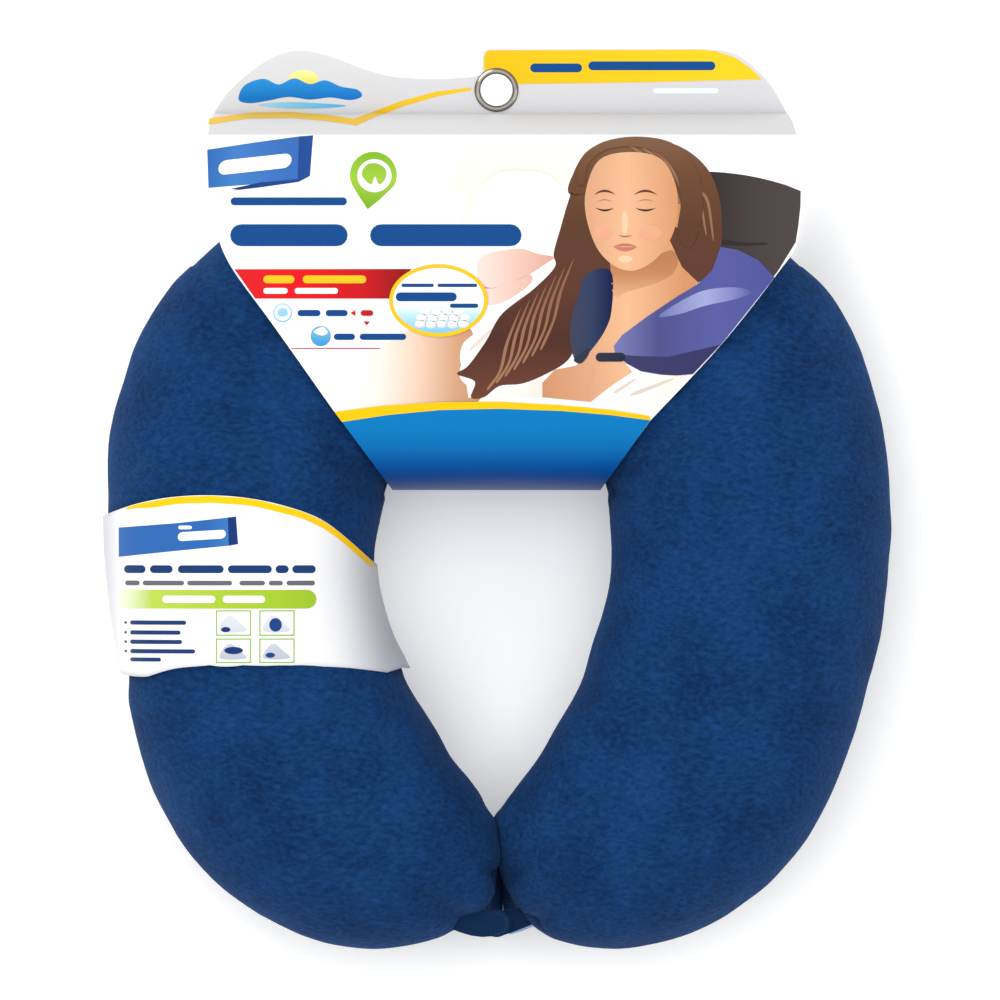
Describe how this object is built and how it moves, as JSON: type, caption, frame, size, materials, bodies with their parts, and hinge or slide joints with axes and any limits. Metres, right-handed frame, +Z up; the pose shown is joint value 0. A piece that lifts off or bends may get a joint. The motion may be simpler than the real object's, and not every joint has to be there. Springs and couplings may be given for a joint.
{
  "type": "u shaped neck pillow",
  "caption": "U shaped plush neck pillow with snap tabs at its tips, a looped header card with a hanging eyelet and a paper sleeve round one arm.",
  "frame": {"origin": "centre of the overall box at its underside, on the surface that the pillow lies on", "axes": "+Z up through the pillow's thickness, plush side up; +Y towards the arch and the header card, -Y towards the tips; +X towards the right arm as seen from above"},
  "size_m": [0.3044, 0.3468, 0.096],
  "materials": {
    "plush": "short piled plush knit",
    "spandex": "smooth four way stretch knit",
    "liner_cloth": "thin woven cotton liner",
    "beads": "expanded polystyrene beads, loose",
    "printed_card": "coated printed card",
    "printed_paper": "coated printed paper",
    "nickel": "nickel plated brass, bright",
    "tab_cloth": "folded and stitched knit cloth",
    "snap_metal": "pressed metal"
  },
  "bodies": {
    "arch": {"arch_front_cover": "plush", "arch_back_cover": "spandex", "arch_liner": "liner_cloth", "arch_bead_fill": "beads", "header_card": "printed_card", "eyelet": "nickel", "eyelet_washer": "nickel"},
    "left_arm": {"left_front_cover": "plush", "left_back_cover": "spandex", "left_liner": "liner_cloth", "left_bead_fill": "beads", "paper_sleeve": "printed_paper"},
    "right_arm": {"right_front_cover": "plush", "right_back_cover": "spandex", "right_liner": "liner_cloth", "right_bead_fill": "beads"},
    "left_tab": {"left_snap_tab": "tab_cloth", "snap_socket": "snap_metal", "snap_cap": "snap_metal"},
    "right_tab": {"right_snap_tab": "tab_cloth", "snap_stud": "snap_metal", "snap_post": "snap_metal"}
  },
  "joints": [
    {"name": "left_arm_spread", "type": "hinge", "parent": "arch", "child": "left_arm", "pos_m": [-0.1138, 0.0943, 0.048], "axis": [0, 0, -1], "range_deg": [0, 18]},
    {"name": "right_arm_spread", "type": "hinge", "parent": "arch", "child": "right_arm", "pos_m": [0.1138, 0.0943, 0.048], "axis": [0, 0, 1], "range_deg": [0, 18]},
    {"name": "left_tab_flap", "type": "hinge", "parent": "left_arm", "child": "left_tab", "pos_m": [-0.0097, -0.16545, 0.0519], "axis": [-0.7351, -0.6779, 0], "range_deg": [0, 90]},
    {"name": "right_tab_flap", "type": "hinge", "parent": "right_arm", "child": "right_tab", "pos_m": [0.0097, -0.16545, 0.0441], "axis": [0.7351, -0.6779, 0], "range_deg": [0, 90]}
  ]
}
